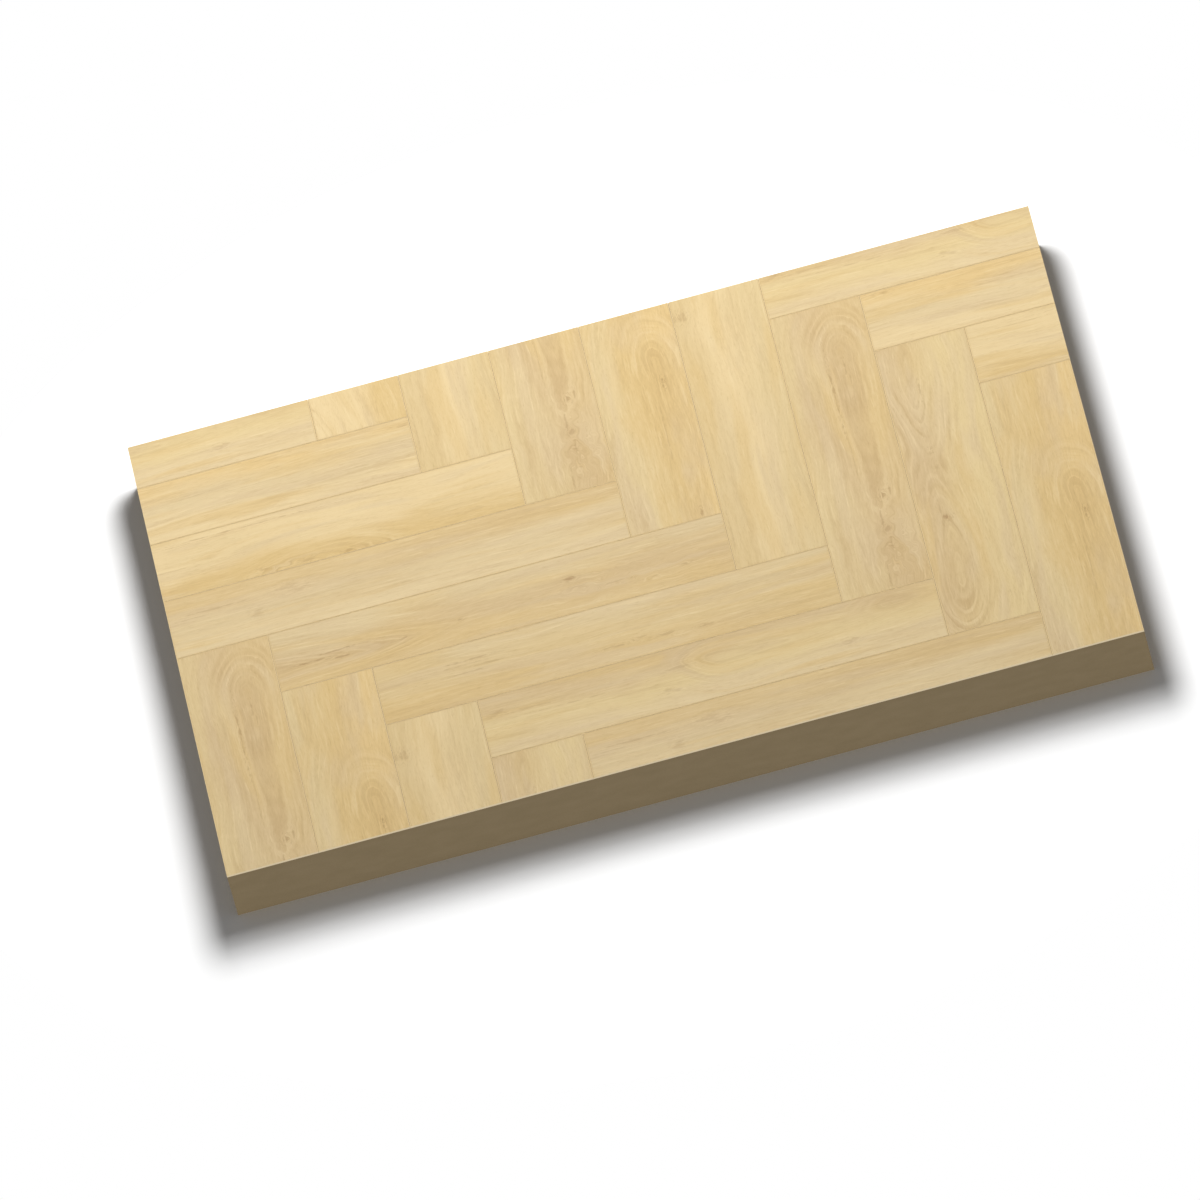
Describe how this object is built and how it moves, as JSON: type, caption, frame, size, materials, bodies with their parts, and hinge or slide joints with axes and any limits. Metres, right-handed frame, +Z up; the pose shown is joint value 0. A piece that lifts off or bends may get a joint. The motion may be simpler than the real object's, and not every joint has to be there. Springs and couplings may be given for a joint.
{
  "type": "herringbone vinyl floor board",
  "caption": "Flat rectangular floor board faced with bevelled oak-look vinyl planks laid in herringbone on a solid brown base; it lies flat and butts against its neighbours.",
  "frame": {"origin": "centre of the board's underside", "axes": "+X along the long side, +Y towards the back edge, +Z up out of the laid face"},
  "size_m": [1.22, 0.915, 0.0675],
  "materials": {
    "base_board": "matte",
    "vinyl_plank": "matte"
  },
  "bodies": {
    "root": {"base_board": "base_board", "plank_back1_lengthwise_06": "vinyl_plank", "plank_back1_lengthwise_07": "vinyl_plank", "plank_back1_lengthwise_08": "vinyl_plank", "plank_front1_crosswise_04": "vinyl_plank", "plank_front1_crosswise_05": "vinyl_plank", "plank_front1_crosswise_06": "vinyl_plank", "plank_front1_crosswise_07": "vinyl_plank", "plank_main_crosswise_01": "vinyl_plank", "plank_main_crosswise_02": "vinyl_plank", "plank_main_crosswise_03": "vinyl_plank", "plank_main_crosswise_04": "vinyl_plank", "plank_main_crosswise_05": "vinyl_plank", "plank_main_crosswise_06": "vinyl_plank", "plank_main_crosswise_07": "vinyl_plank", "plank_main_crosswise_08": "vinyl_plank", "plank_main_lengthwise_01": "vinyl_plank", "plank_main_lengthwise_02": "vinyl_plank", "plank_main_lengthwise_03": "vinyl_plank", "plank_main_lengthwise_04": "vinyl_plank", "plank_main_lengthwise_05": "vinyl_plank", "plank_main_lengthwise_06": "vinyl_plank", "plank_main_lengthwise_07": "vinyl_plank", "plank_main_lengthwise_08": "vinyl_plank"}
  },
  "joints": []
}
